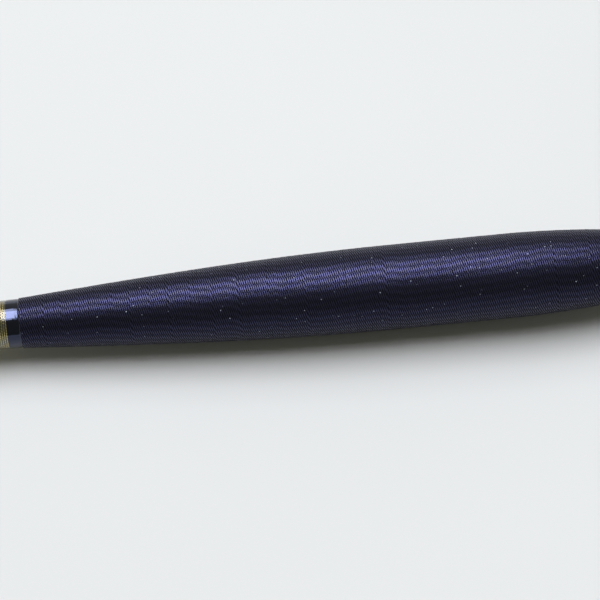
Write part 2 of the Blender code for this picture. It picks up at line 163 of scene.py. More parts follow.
# Polished brown lacquer over carbon: nearly black, with warm streaks along the fibres where light gets
# into it, and a clear coat whose faint ripple makes a long highlight waver.
brown_lacquer, tree, shader = finish(
    "brown_lacquer_over_carbon",
    {"Roughness": 0.22, "Coat Weight": 1.0, "Coat Roughness": 0.03, "Coat IOR": 1.55},
)
place = add_node(tree, "TexCoord", {}).outputs["Object"]
along = add_node(
    tree, "Mapping", {"Vector": place, "Scale": (1 / FIBRE_LENGTH, 1 / FIBRE_WIDTH, 1 / FIBRE_WIDTH)}
)
fibres = add_node(tree, "TexNoise", {"Vector": along, "Scale": 1.0, "Detail": 3.0, "Roughness": 0.6})
depth = add_node(tree, "MapRange", {"Value": fibres, "From Min": 0.35, "From Max": 0.7})
tint = add_node(tree, "MixRGB", {"Fac": depth, "Color1": linear("#1b1210"), "Color2": linear("#3a2016")})
feed(shader, "Base Color", tint)
ripple = add_node(tree, "TexNoise", {"Vector": place, "Scale": 1 / LACQUER_RIPPLE, "Detail": 1.0})
wave = add_node(tree, "Bump", {"Height": ripple, "Strength": 0.5, "Distance": 0.03 * MM})
feed(shader, "Coat Normal", wave)

butt_tube = tube("butt_tube", "butt_blank")
fit(butt_tube, "butt_section", brown_lacquer, "blank_lacquer", "butt_blank")

# Ferrule. A threaded aluminium socket, turned and black anodised, glued over the rear end of the butt
# tube. Its ring shows behind the grip, with two fine V grooves, and its bore takes the butt cap's thread.
FERRULE_RING = 5.4 * MM  # length of the ring that shows
FERRULE_FLOOR = 1.0 * MM  # how far the threaded bore ends behind the ring's front
FERRULE_GROOVE = 0.18 * MM
GROOVE_INSET = 1.2 * MM
FERRULE_BORE_PITCH = 1.0 * MM
BORE_THREADS = 3
TURNING_LINES = 0.12 * MM  # spacing of a lathe's fine lines, drawn wider than real so that they show
ANODISED_CLOUD = 4 * MM

ferrule_rear, ferrule_bore, ferrule_radius = end_of("butt_ferrule", "rear")
spigot_front, spigot_bore, spigot_radius = end_of("butt_ferrule", "front")
ring_front = ferrule_rear + FERRULE_RING
shoulder = ring_front - FERRULE_FLOOR
outline = [(ferrule_rear, ferrule_bore), (ferrule_rear, ferrule_radius)]
for groove in (ferrule_rear + GROOVE_INSET, ring_front - GROOVE_INSET):
    outline += [
        (groove - FERRULE_GROOVE, ferrule_radius),
        (groove, ferrule_radius - FERRULE_GROOVE),
        (groove + FERRULE_GROOVE, ferrule_radius),
    ]
outline += [
    (ring_front, ferrule_radius),
    (ring_front, spigot_radius),
    (spigot_front, spigot_radius),
    (spigot_front, spigot_bore),
    (shoulder, spigot_bore),
    (shoulder, ferrule_bore),
]
for k in range(BORE_THREADS):
    groove = shoulder - (k + 0.7) * FERRULE_BORE_PITCH
    outline += [
        (groove + 0.3 * MM, ferrule_bore),
        (groove, ferrule_bore + 0.2 * MM),
        (groove - 0.3 * MM, ferrule_bore),
    ]
outline += [(ferrule_rear, ferrule_bore)]
ferrule = turned("ferrule", outline, edge=0.08 * MM)

# Black anodised aluminium, turned: a dark satin metal whose fine lathe lines draw a highlight out across
# them.
anodised, tree, shader = finish("black_anodised_aluminium", {"Metallic": 1.0})
place = add_node(tree, "TexCoord", {}).outputs["Object"]
cloud = add_node(tree, "TexNoise", {"Vector": place, "Scale": 1 / ANODISED_CLOUD, "Detail": 2.0})
tint = add_node(tree, "MixRGB", {"Fac": cloud, "Color1": linear("#3c3c40"), "Color2": linear("#4c4b4e")})
feed(shader, "Base Color", tint)
worn = add_node(tree, "MapRange", {"Value": cloud, "To Min": 0.28, "To Max": 0.42})
feed(shader, "Roughness", worn)
parts = add_node(tree, "SeparateXYZ", {"Vector": place})
line = add_node(tree, "Math", {0: parts.outputs["X"], 1: 1 / TURNING_LINES}, operation="MULTIPLY")
cut = add_node(tree, "TexNoise", {"W": line, "Scale": 1.0, "Detail": 2.0}, noise_dimensions="1D")
mark = add_node(tree, "Bump", {"Height": cut, "Strength": 0.6, "Distance": 0.012 * MM})
feed(shader, "Normal", mark)
fit(ferrule, "butt_section", anodised, "dark_metal", "butt_ferrule")

# Grip core. Light wood turned to the grip's swelling shape, bored to fit over the tube and glued to it.
# The thread hides it, apart from its end faces, so the CAD node stays and only gets its wood.
GRAIN_WIDTH = 0.8 * MM
GRAIN_LENGTH = 25 * MM

# Paulownia, turned and sanded: pale, dry and open-grained, with darker lines along the rod.
core_wood, tree, shader = finish("paulownia_wood", {"Roughness": 0.75})
place = add_node(tree, "TexCoord", {}).outputs["Object"]
along = add_node(
    tree, "Mapping", {"Vector": place, "Scale": (1 / GRAIN_LENGTH, 1 / GRAIN_WIDTH, 1 / GRAIN_WIDTH)}
)
grain = add_node(tree, "TexNoise", {"Vector": along, "Scale": 1.0, "Detail": 4.0, "Distortion": 0.4})
tint = add_node(tree, "MixRGB", {"Fac": grain, "Color1": linear("#a97e50"), "Color2": linear("#d8b98c")})
feed(shader, "Base Color", tint)
pores = add_node(tree, "Bump", {"Height": grain, "Strength": 0.5, "Distance": 0.05 * MM})
feed(shader, "Normal", pores)
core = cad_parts["grip_core"]
core.data.materials.clear()
core.data.materials.append(core_wood)

# Grip winding. One unbroken two-ply cotton thread, dyed navy and close-wound on the core under tension.
# It stays bare, so each turn is a soft round rib with the twist of its plies across it. It is made in
# three lengths.
THREAD = 0.65 * MM
THREAD_PITCH = 0.66 * MM
THREAD_CROWN = 0.07 * MM  # how far each turn stands out of the grooves beside it
THREAD_UNEVENNESS = 0.02 * MM
PLY_LENGTH = 2.3 * MM  # length along the thread from one ply's crest to the next
PLY_DEPTH = 0.035 * MM
TOP_GLOSS = 0.93  # only the worn tops of the plies shine; the fuzz between them does not
SWELL_LENGTH = 115 * MM
STRAIGHT_LENGTH = 33 * MM
REAR_TAPER_LENGTH = 52 * MM
WIDEST = 13.0 * MM
WINDING_STEPS = 72  # steps round one turn
THREAD_SEGMENTS = 8  # faces across one turn
SQUARENESS = 4  # power of the curve across one turn: 2 is round, and more is flatter on top
CORE_CLEARANCE = 0.15 * MM  # what the frame leaves free between the core and the thread
LINING_STEP = 6 * MM
EXACT = 0.0001 * MM  # how closely a cut keeps to its plane
UNEVEN_PLACES = 2000  # random values along a winding, two to a turn
PLY_DRIFT = 0.05  # how much the plies' twist wanders from turn to turn
FUZZ = 0.12 * MM
DYE_CLOUD = 14 * MM
DUST_SPACING = 2.2 * MM

winding_rear, _, core_rear_radius = end_of("grip_core", "rear")
winding_front, _, core_front_radius = end_of("grip_core", "front")
turns_rear = end_of("grip_winding", "front")[0]
grip_rear_radius = core_rear_radius + THREAD + CORE_CLEARANCE
grip_front_radius = core_front_radius + THREAD + CORE_CLEARANCE


def grip_radius(distance):
    """Radius over the thread: a sine swell from the front, a straight stretch, a parabola to the rear."""
    behind = winding_front - distance
    swell = np.sin(np.pi / 2 * np.clip(behind / SWELL_LENGTH, 0, 1))
    fall = np.clip((behind - SWELL_LENGTH - STRAIGHT_LENGTH) / REAR_TAPER_LENGTH, 0, 1) ** 2
    return grip_front_radius + (WIDEST - grip_front_radius) * swell - (WIDEST - grip_rear_radius) * fall


def core_side(distance):
    """Radius of the thread's side that lies on the core."""
    return grip_radius(distance) - THREAD


def select_rim(piece, distance):
    """Selects the open edges at this distance from the butt, and nothing else."""
    mesh = piece.data
    uses = np.zeros(len(mesh.loops), int)
    mesh.loops.foreach_get("edge_index", uses)
    faces_on = np.bincount(uses, minlength=len(mesh.edges))
    place = np.zeros(len(mesh.vertices) * 3)
    mesh.vertices.foreach_get("co", place)
    near = abs(place[::3] + distance) < WELD
    ends = np.zeros(len(mesh.edges) * 2, int)
    mesh.edges.foreach_get("vertices", ends)
    rim = (faces_on == 1) & near[ends[::2]] & near[ends[1::2]]
    mesh.polygons.foreach_set("select", np.zeros(len(mesh.polygons), bool))
    mesh.edges.foreach_set("select", rim)
    chosen = np.zeros(len(mesh.vertices), bool)
    chosen[ends.reshape(-1, 2)[rim].ravel()] = True
    mesh.vertices.foreach_set("select", chosen)


def thread_profile(name, corners, radius, distance, height):
    """A round profile, standing across the turns at this distance from the butt and height over the axis."""
    bpy.ops.mesh.primitive_circle_add(
        vertices=corners, radius=radius, location=(-distance, 0, height), rotation=(math.pi / 2, 0, 0)
    )
    piece = bpy.context.object
    piece.name = piece.data.name = name
    bpy.ops.object.transform_apply(location=True, rotation=True, scale=True)
    return piece


def wind(piece, pitch, turns, steps=WINDING_STEPS):
    """Carries a profile round the rod in this many turns."""
    screw = piece.modifiers.new("turns", "SCREW")
    screw.axis = "X"
    screw.screw_offset = -pitch
    screw.iterations = turns
    screw.steps = screw.render_steps = steps
    screw.use_merge_vertices = False
    bpy.ops.object.modifier_apply(modifier=screw.name)


def wound(name, rear, front, pitch, height, outside, inside, unevenness, segments=THREAD_SEGMENTS):
    """A close winding between two distances, its turns counted from the butt so that windings meet."""
    piece = thread_profile(name, 2 * segments, pitch / 2, 0, WIDEST)
    bpy.ops.object.mode_set(mode="EDIT")
    bpy.ops.mesh.bisect(plane_co=(0, 0, WIDEST - 0.01 * pitch), plane_no=(0, 0, 1), clear_inner=True)
    bpy.ops.object.mode_set(mode="OBJECT")
    first = math.floor(rear / pitch) - 1
    turns = math.ceil(front / pitch) + 1 - first
    profile = np.array([v.co.x for v in piece.data.vertices]) / (pitch / 2)
    across = -np.arcsin(np.clip(profile, -1, 1))
    foot = abs(profile) > 0.999
    across[foot] = np.sign(-profile[foot]) * np.pi / 2
    wind(piece, pitch, turns)

    mesh = piece.data
    step, point = np.divmod(np.arange(len(mesh.vertices)), len(profile))
    turn = first + step / WINDING_STEPS
    random = np.random.default_rng(7)
    rise = random.normal(0, unevenness, UNEVEN_PLACES)
    shift = random.normal(0, unevenness, UNEVEN_PLACES)
    angle = across[point]
    crown = (1 - np.sin(angle) ** SQUARENESS) ** (1 / SQUARENESS)
    even = turn * pitch + pitch / 2 * np.sin(angle)
    distance = even + np.interp(2 * turn, range(UNEVEN_PLACES), shift) * crown
    radius = outside(even) - height * (1 - crown)
    radius += np.interp(2 * turn, range(UNEVEN_PLACES), rise) * crown
    round_rod = 2 * np.pi * turn
    places = np.stack([-distance, radius * np.sin(round_rod), radius * np.cos(round_rod)], 1)
    mesh.vertices.foreach_set("co", places.ravel())

    every_turn = np.arange((first + turns) * WINDING_STEPS + 1) / WINDING_STEPS
    plies = np.round(2 * np.pi * outside(every_turn * pitch) / PLY_LENGTH)
    wander = np.cumsum(random.normal(0, PLY_DRIFT, UNEVEN_PLACES))
    drift = np.interp(every_turn, range(UNEVEN_PLACES), wander)
    laid = (np.cumsum(plies) / WINDING_STEPS + drift)[first * WINDING_STEPS :]
    corner = np.zeros(len(mesh.loops), int)
    mesh.loops.foreach_get("vertex_index", corner)
    run = laid[step[corner]].reshape(-1, 4)
    run -= np.floor(run.min(1, keepdims=True))
    thread_map = np.stack([run.ravel(), np.sin(angle[corner]) / 2 + 0.5], 1)
    mesh.uv_layers.new(name="thread").uv.foreach_set("vector", thread_map.ravel())

    bpy.ops.object.mode_set(mode="EDIT")
    bpy.ops.mesh.select_all(action="SELECT")
    bpy.ops.mesh.remove_doubles(threshold=WELD / 2)
    bpy.ops.mesh.bisect(plane_co=(-rear, 0, 0), plane_no=(1, 0, 0), clear_outer=True, threshold=EXACT)
    bpy.ops.mesh.select_all(action="SELECT")
    bpy.ops.mesh.bisect(plane_co=(-front, 0, 0), plane_no=(1, 0, 0), clear_inner=True, threshold=EXACT)
    bpy.ops.object.mode_set(mode="OBJECT")
    spots = np.linspace(rear, front, max(2, int((front - rear) / LINING_STEP) + 1))
    lining = turned(name + "_lining", [(d, float(inside(d))) for d in spots], sides=WINDING_STEPS)
    bpy.ops.object.select_all(action="DESELECT")
    lining.select_set(True)
    piece.select_set(True)
    bpy.context.view_layer.objects.active = piece
    bpy.ops.object.join()
    for end in (rear, front):
        select_rim(piece, end)
        bpy.ops.object.mode_set(mode="EDIT")
        bpy.ops.mesh.select_mode(type="EDGE")
        bpy.ops.mesh.fill()
        bpy.ops.object.mode_set(mode="OBJECT")
    bpy.ops.object.mode_set(mode="EDIT")
    bpy.ops.mesh.select_all(action="SELECT")
    bpy.ops.mesh.normals_make_consistent(inside=False)
    bpy.ops.object.mode_set(mode="OBJECT")
    bpy.ops.object.shade_smooth_by_angle(angle=math.radians(40))
    return piece


# Dyed cotton, two-ply and unglazed: matt and nearly black in the shade, with a soft violet sheen where
# light rakes the fibres. The sheen's blue tint is painted into the reflection in place of a cool light. The
# plies break that sheen into short dashes, the dye is painted darker in the valleys between the plies as
# painted shade, and a little pale dust sits between the turns.
navy_cotton, tree, shader = finish(
    "navy_dyed_cotton_thread",
    {
        "IOR": 1.5,
        # Painted reflection colour: this blue specular tint stands in for a cool light.
        "Specular Tint": (0.45, 0.45, 1.0, 1.0),
        "Sheen Weight": 0.04,
        "Sheen Roughness": 0.4,
        "Sheen Tint": (0.75, 0.78, 1.0, 1.0),
    },
)
place = add_node(tree, "TexCoord", {}).outputs["Object"]
on_thread = add_node(tree, "UVMap", {}, uv_map="thread")
uv = add_node(tree, "SeparateXYZ", {"Vector": on_thread})
phase = add_node(tree, "Math", {0: uv.outputs["X"], 1: uv.outputs["Y"]}, operation="SUBTRACT")
lobe_angle = add_node(tree, "Math", {0: phase, 1: math.pi}, operation="MULTIPLY")
lobe = add_node(tree, "Math", {0: lobe_angle}, operation="COSINE")
crest = add_node(tree, "Math", {0: lobe}, operation="ABSOLUTE")
ply = add_node(tree, "MapRange", {"Value": crest, "From Max": 0.45}, interpolation_type="SMOOTHSTEP")
fuzz_place = add_node(tree, "Mapping", {"Vector": place, "Scale": (1 / FUZZ,) * 3})
fuzz = add_node(tree, "TexNoise", {"Vector": fuzz_place, "Scale": 1.0, "Detail": 2.0})
rough_ply = add_node(tree, "Math", {0: fuzz, 1: 0.2, 2: ply}, operation="MULTIPLY_ADD")
relief = add_node(tree, "Bump", {"Height": rough_ply, "Strength": 1.0, "Distance": PLY_DEPTH})
feed(shader, "Normal", relief)
gloss = add_node(tree, "MapRange", {"Value": ply, "To Min": 0.75, "To Max": 0.38})
feed(shader, "Roughness", gloss)
crest_top = add_node(
    tree, "MapRange", {"Value": crest, "From Min": 0.4, "From Max": 0.95}, interpolation_type="SMOOTHSTEP"
)
from_edge = add_node(tree, "Math", {0: uv.outputs["Y"], 1: 0.5}, operation="PINGPONG")
turn_top = add_node(
    tree,
    "MapRange",
    {"Value": from_edge, "From Min": 0.04, "From Max": 0.16, "To Max": TOP_GLOSS},
    interpolation_type="SMOOTHSTEP",
)
shine = add_node(tree, "Math", {0: crest_top, 1: turn_top}, operation="MULTIPLY")
feed(shader, "Specular IOR Level", shine)
tone_place = add_node(tree, "Mapping", {"Vector": place, "Scale": (1 / DYE_CLOUD,) * 3})
tone = add_node(tree, "TexNoise", {"Vector": tone_place, "Scale": 1.0, "Detail": 3.0})
dye = add_node(tree, "MixRGB", {"Fac": tone, "Color1": linear("#101117"), "Color2": linear("#18181f")})
# Painted shade: the dye is darkened to 45% in the valleys between the plies.
groove = add_node(tree, "MapRange", {"Value": crest, "From Max": 0.45, "To Min": 0.45})
dye_with_painted_valley_shade = add_node(tree, "MixRGB", {"Fac": 1.0, "Color1": dye, "Color2": groove}, blend_type="MULTIPLY")
dust_cell = add_node(tree, "TexVoronoi", {"Vector": place, "Scale": 1 / DUST_SPACING})
speck = add_node(tree, "Math", {0: dust_cell.outputs["Distance"], 1: 0.085}, operation="LESS_THAN")
chance = add_node(tree, "SeparateColor", {"Color": dust_cell.outputs["Color"]})
kept = add_node(tree, "Math", {0: chance, 1: 0.8}, operation="LESS_THAN")
strength = add_node(tree, "MapRange", {"Value": chance.outputs[1], "To Min": 0.08, "To Max": 0.9})
there = add_node(tree, "Math", {0: speck, 1: kept}, operation="MULTIPLY")
dusty = add_node(tree, "Math", {0: there, 1: strength}, operation="MULTIPLY")
surface = add_node(tree, "MixRGB", {"Fac": dusty, "Color1": dye_with_painted_valley_shade, "Color2": linear("#b4bac8")})
feed(shader, "Base Color", surface)

middle = (winding_rear + turns_rear) / 2
turns_start = turns_rear + 0.15 * MM
for name, rear, front, node in (
    ("rear_winding", winding_rear, middle, "grip_winding"),
    ("middle_winding", middle, turns_start, "grip_winding"),
    ("front_winding", turns_start, winding_front, "grip_winding_turns"),
):
    piece = wound(name, rear, front, THREAD_PITCH, THREAD_CROWN, grip_radius, core_side, THREAD_UNEVENNESS)
    fit(piece, "butt_section", navy_cotton, "navy_thread", node)

# Lacquer bands. At each end of the grip, black lacquer is built up over a few turns of fine thread and
# polished. The front band creeps up to the first turn of cotton, and the rear one closes against the
# ferrule's ring.
BAND_TOP = 0.18 * MM
BAND_SIDES = 128
LACQUER_MOTTLE = 3 * MM
BRUSH_MARKS = 1.6 * MM

_, band_bore, band_radius = end_of("front_lacquer_band", "rear")
band_front = end_of("front_lacquer_band", "front")[0]
band_start = winding_front + 0.03 * MM
band_end = band_front + 0.25 * MM
top_of_band = grip_front_radius - 0.03 * MM
foot_of_band = band_radius - 0.14 * MM
outline = [
    (band_start, band_bore),
    (band_start, top_of_band),
    (band_start + 0.08 * MM, top_of_band - 0.08 * MM),
    (band_start + 0.2 * MM, foot_of_band + 0.07 * MM),
    (band_start + 0.4 * MM, foot_of_band + 0.055 * MM),
    (band_end, foot_of_band),
    (band_end, band_bore),
    (band_start, band_bore),
]
front_band = turned("front_lacquer_ring", outline, sides=BAND_SIDES)

# Black lacquer, rubbed and polished: a deep black with a hard reflection, and faint waves left by the
# brush. The reflection's cool blue tint is painted into the material in place of a cool light.
black_lacquer, tree, shader = finish(
    "polished_black_lacquer",
    {
        "Roughness": 0.07,
        "IOR": 1.55,
        "Specular IOR Level": 0.62,
        # Painted reflection colour: this blue specular tint stands in for a cool light.
        "Specular Tint": (0.46, 0.54, 1.0, 1.0),
        "Coat Weight": 0.15,
        "Coat Roughness": 0.03,
    },
)
place = add_node(tree, "TexCoord", {}).outputs["Object"]
mottle = add_node(tree, "TexNoise", {"Vector": place, "Scale": 1 / LACQUER_MOTTLE, "Detail": 2.0})
tint = add_node(tree, "MixRGB", {"Fac": mottle, "Color1": linear("#070708"), "Color2": linear("#121214")})
feed(shader, "Base Color", tint)
brushed = add_node(tree, "TexNoise", {"Vector": place, "Scale": 1 / BRUSH_MARKS, "Detail": 1.0})
wave = add_node(tree, "Bump", {"Height": brushed, "Strength": 1.0, "Distance": 0.02 * MM})
feed(shader, "Normal", wave)
fit(front_band, "butt_section", black_lacquer, "black_lacquer", "front_lacquer_band")

band_rear, band_bore, band_radius = end_of("rear_lacquer_band", "rear")
band_start = band_rear - 0.2 * MM
band_end = winding_rear - 0.03 * MM
outline = [
    (band_start, band_bore),
    (band_start, band_radius - 0.25 * MM),
    (band_start + 0.2 * MM, band_radius - 0.08 * MM),
    (band_start + 0.6 * MM, band_radius),
    (band_end - 1.0 * MM, band_radius),
    (band_end - 0.4 * MM, band_radius + 0.05 * MM),
    (band_end, band_radius + BAND_TOP),
    (band_end, band_bore),
    (band_start, band_bore),
]
rear_band = turned("rear_lacquer_ring", outline, sides=BAND_SIDES)
fit(rear_band, "butt_section", black_lacquer, "black_lacquer", "rear_lacquer_band")

# Gold thread. In front of the black band, a dark lacquered whipping carries open turns of thin gold yarn,
# laid in the wet lacquer so that it is half sunk.
GOLD_PITCH = 0.65 * MM
GOLD_THICKNESS = 0.26 * MM
GOLD_SINK = 0.06 * MM  # how far its middle lies under the lacquer
GOLD_LAY = 0.9 * MM  # length of yarn in which its foil goes round once
GOLD_SEGMENTS = 12
GOLD_STEPS = 96
BED_RIBS = 0.22 * MM
VARNISH_MOTTLE = 2 * MM

base_rear, base_bore, _ = end_of("gold_whipping_base", "rear")
base_front = end_of("gold_whipping_base", "front")[0]
lacquer_radius = foot_of_band - 0.02 * MM
outline = [
    (base_rear, base_bore),
    (base_rear, lacquer_radius),
    (base_front - 0.12 * MM, lacquer_radius),
    (base_front + 0.1 * MM, lacquer_radius - 0.12 * MM),
    (base_front + 0.1 * MM, base_bore),
    (base_rear, base_bore),
]
gold_base = turned("gold_thread_bed", outline, sides=BAND_SIDES)

# Olive lacquer over a whipping: a thick amber varnish on dark thread, very glossy, with the ribs just
# showing.
olive_lacquer, tree, shader = finish(
    "olive_lacquered_whipping",
    {"Roughness": 0.12, "Coat Weight": 1.0, "Coat Roughness": 0.04, "Coat IOR": 1.5},
)
place = add_node(tree, "TexCoord", {}).outputs["Object"]
parts = add_node(tree, "SeparateXYZ", {"Vector": place})
turn = add_node(tree, "Math", {0: parts.outputs["X"], 1: 2 * math.pi / BED_RIBS}, operation="MULTIPLY")
rib = add_node(tree, "Math", {0: turn}, operation="SINE")
mottle = add_node(tree, "TexNoise", {"Vector": place, "Scale": 1 / VARNISH_MOTTLE, "Detail": 3.0})
tint = add_node(tree, "MixRGB", {"Fac": mottle, "Color1": linear("#24221a"), "Color2": linear("#3b3626")})
feed(shader, "Base Color", tint)
ribs = add_node(tree, "Bump", {"Height": rib, "Strength": 0.5, "Distance": 0.01 * MM})
feed(shader, "Normal", ribs)
fit(gold_base, "butt_section", olive_lacquer, "dark_whipping", "gold_whipping_base")


def close_ends(sharp):
    """Closes the open ends of the active piece, turns its faces outwards and smooths what is not sharp."""
    bpy.ops.object.mode_set(mode="EDIT")
    bpy.ops.mesh.select_all(action="DESELECT")
    bpy.ops.mesh.select_mode(type="EDGE")
    bpy.ops.mesh.select_non_manifold()
    bpy.ops.mesh.edge_face_add()
    bpy.ops.mesh.select_all(action="SELECT")
    bpy.ops.mesh.normals_make_consistent(inside=False)
    bpy.ops.object.mode_set(mode="OBJECT")
    bpy.ops.object.shade_smooth_by_angle(angle=math.radians(sharp))


gold_rear = base_rear + 0.15 * MM
gold_turns = math.floor((base_front - gold_rear - 0.2 * MM) / GOLD_PITCH)
gold_middle = lacquer_radius - GOLD_SINK
gold_yarn = thread_profile("gold_yarn", GOLD_SEGMENTS, GOLD_THICKNESS / 2, gold_rear, gold_middle)
wind(gold_yarn, GOLD_PITCH, gold_turns, GOLD_STEPS)
mesh = gold_yarn.data
step, point = np.divmod(np.arange(len(mesh.vertices)), GOLD_SEGMENTS)
corner = np.zeros(len(mesh.loops), int)
mesh.loops.foreach_get("vertex_index", corner)
run = (step[corner] * 2 * math.pi * gold_middle / GOLD_STEPS / GOLD_LAY).reshape(-1, 4)
across = (point[corner] / GOLD_SEGMENTS).reshape(-1, 4)
across = across + ((across.max(1, keepdims=True) - across) > 0.5)
yarn_map = np.stack([(run - np.floor(run.min(1, keepdims=True))).ravel(), across.ravel()], 1)
mesh.uv_layers.new(name="thread").uv.foreach_set("vector", yarn_map.ravel())
close_ends(40)

# Gold yarn: a flat gold foil wrapped on a thin core, pale and a little green, broken into glints by the
# wrap.
gold_foil, tree, shader = finish("gold_foil_yarn", {"Metallic": 1.0, "Roughness": 0.3})
on_thread = add_node(tree, "UVMap", {}, uv_map="thread")
uv = add_node(tree, "SeparateXYZ", {"Vector": on_thread})
phase = add_node(tree, "Math", {0: uv.outputs["X"], 1: uv.outputs["Y"]}, operation="ADD")
wrap_angle = add_node(tree, "Math", {0: phase, 1: 2 * math.pi}, operation="MULTIPLY")
wrap = add_node(tree, "Math", {0: wrap_angle}, operation="SINE")
foil = add_node(tree, "MapRange", {"Value": wrap, "From Min": -1.0})
tint = add_node(tree, "MixRGB", {"Fac": foil, "Color1": linear("#8f8450"), "Color2": linear("#d0c48c")})
feed(shader, "Base Color", tint)
edges = add_node(tree, "Bump", {"Height": wrap, "Strength": 0.6, "Distance": 0.015 * MM})
feed(shader, "Normal", edges)
fit(gold_yarn, "butt_section", gold_foil, "gold_thread", "gold_thread_wrap")

# Front whipping. Fine black silk runs down from the gold thread to the bare tube and is lacquered over.
# The lacquer fills the turns but for a faint rib.
SILK_PITCH = 0.3 * MM
SILK_RIB = 0.03 * MM
SILK_UNEVENNESS = 0.003 * MM
SILK_MOTTLE = 2.5 * MM
LACQUER_FLOW = 1.5 * MM
SEAT = 0.14 * MM  # what the frame leaves free between a whipping or ring and the tube that it really sits on

whipping_rear, whipping_bore, whipping_radius = end_of("front_whipping", "rear")
whipping_front, front_bore, front_radius = end_of("front_whipping", "front")


def between(start, start_value, end, end_value):
    """A straight slope from one value to another between two distances."""
    return lambda d: start_value + (end_value - start_value) * (np.asarray(d) - start) / (end - start)


front_whipping = wound(
    "front_silk_whipping",
    whipping_rear - 0.15 * MM,
    whipping_front,
    SILK_PITCH,
    SILK_RIB,
    between(whipping_rear, whipping_radius, whipping_front, front_radius),
    between(whipping_rear, whipping_bore - SEAT, whipping_front, front_bore - SEAT),
    SILK_UNEVENNESS,
    segments=6,
)

# Lacquered black silk: as glossy as the bands, with a long highlight that the ribs cut into fine steps.
lacquered_silk, tree, shader = finish(
    "lacquered_black_silk", {"Roughness": 0.2, "Coat Weight": 1.0, "Coat Roughness": 0.06, "Coat IOR": 1.5}
)
place = add_node(tree, "TexCoord", {}).outputs["Object"]
on_thread = add_node(tree, "UVMap", {}, uv_map="thread")
uv = add_node(tree, "SeparateXYZ", {"Vector": on_thread})
valley = add_node(tree, "Math", {0: uv.outputs["Y"], 1: math.pi}, operation="MULTIPLY")
rib = add_node(tree, "Math", {0: valley}, operation="SINE")
mottle = add_node(tree, "TexNoise", {"Vector": place, "Scale": 1 / SILK_MOTTLE, "Detail": 3.0})
# Painted shade: the silk is darker between the turns and lighter on their tops, times a random mottle.
mottle_and_painted_rib_shade = add_node(tree, "Math", {0: rib, 1: mottle}, operation="MULTIPLY")
tint = add_node(tree, "MixRGB", {"Fac": mottle_and_painted_rib_shade, "Color1": linear("#08080a"), "Color2": linear("#25252b")})
feed(shader, "Base Color", tint)
flow = add_node(tree, "TexNoise", {"Vector": place, "Scale": 1 / LACQUER_FLOW, "Detail": 1.0})
wave = add_node(tree, "Bump", {"Height": flow, "Strength": 0.6, "Distance": 0.02 * MM})
feed(shader, "Coat Normal", wave)
fit(front_whipping, "butt_section", lacquered_silk, "whipping_lacquer", "front_whipping")

# Mouths. Each tube's front end is bound with lacquered silk so that it can't split as the next section
# wedges into it, and a thin ring of champagne anodised aluminium is glued on at the very lip.
FINE_SILK_PITCH = 0.25 * MM
RING_LINES = 0.1 * MM
RING_GROOVE = 0.12 * MM  # half the width

# Champagne anodised aluminium: a warm pale metal with fine lathe lines round it.
champagne, tree, shader = finish("champagne_anodised_aluminium", {"Metallic": 1.0, "Roughness": 0.26})
place = add_node(tree, "TexCoord", {}).outputs["Object"]
parts = add_node(tree, "SeparateXYZ", {"Vector": place})
line = add_node(tree, "Math", {0: parts.outputs["X"], 1: 1 / RING_LINES}, operation="MULTIPLY")
cut = add_node(tree, "TexNoise", {"W": line, "Scale": 1.0, "Detail": 2.0}, noise_dimensions="1D")
tint = add_node(tree, "MixRGB", {"Fac": cut, "Color1": linear("#b79a63"), "Color2": linear("#d9c08c")})
feed(shader, "Base Color", tint)
mark = add_node(tree, "Bump", {"Height": cut, "Strength": 0.6, "Distance": 0.01 * MM})
feed(shader, "Normal", mark)

for section, prefix, pitch in (
    ("butt_section", "", SILK_PITCH),
    ("section_4", "section_4_", FINE_SILK_PITCH),
    ("section_3", "section_3_", FINE_SILK_PITCH),
    ("section_2", "section_2_", FINE_SILK_PITCH),
):
    node = prefix + "mouth_whipping"
    rear, rear_bore, rear_radius = end_of(node, "rear")
    front, front_bore, front_radius = end_of(node, "front")
    silk = wound(
        prefix + "mouth_silk",
        rear,
        front,
        pitch,
        SILK_RIB,
        between(rear, rear_radius, front, front_radius),
        between(rear, rear_bore - SEAT, front, front_bore - SEAT),
        SILK_UNEVENNESS,
        segments=4,
    )
    fit(silk, section, lacquered_silk, "whipping_lacquer", node)
    node = prefix + "mouth_ring"
    rear, rear_bore, _ = end_of(node, "rear")
    front, front_bore, radius = end_of(node, "front")
    groove = (rear + front) / 2
    rear -= 0.1 * MM  # over the silk's end
    outline = [
        (rear, rear_bore - SEAT),
        (rear, radius),
        (groove - RING_GROOVE, radius),
        (groove, radius - 0.08 * MM),
        (groove + RING_GROOVE, radius),
        (front, radius),
        (front, front_bore - SEAT),
        (rear, rear_bore - SEAT),
    ]
    ring = turned(prefix + "lip_ring", outline, sides=72, edge=0.05 * MM)
    fit(ring, section, champagne, "ring_metal", node)

# Inner sections. Three more tapered carbon tubes, each of which slides out of the next larger one and
# jams in its mouth by its taper. They are made and lacquered as the butt tube is.
for section in ("section_4", "section_3", "section_2"):
    piece = tube(section + "_tube", section + "_blank", 0.1 * MM)
    fit(piece, section, brown_lacquer, "blank_lacquer", section + "_blank")

# Tip. A solid carbon taper, thin enough to bend at a bite, painted red-brown so that it shows against
# water.
PAINT_RUN = 18 * MM
PAINT_POOL = 1.5 * MM

tip_rear, _, tip_rear_radius = end_of("tip_blank", "rear")
tip_front, _, tip_front_radius = end_of("tip_blank", "front")
outline = [
    (tip_rear, 0.0),
    (tip_rear, tip_rear_radius - 0.15 * MM),
    (tip_rear + 0.15 * MM, tip_rear_radius),
    (tip_front - 0.1 * MM, tip_front_radius),
    (tip_front, tip_front_radius - 0.1 * MM),
    (tip_front, 0.0),
]
tip = turned("solid_tip", outline, sides=32)

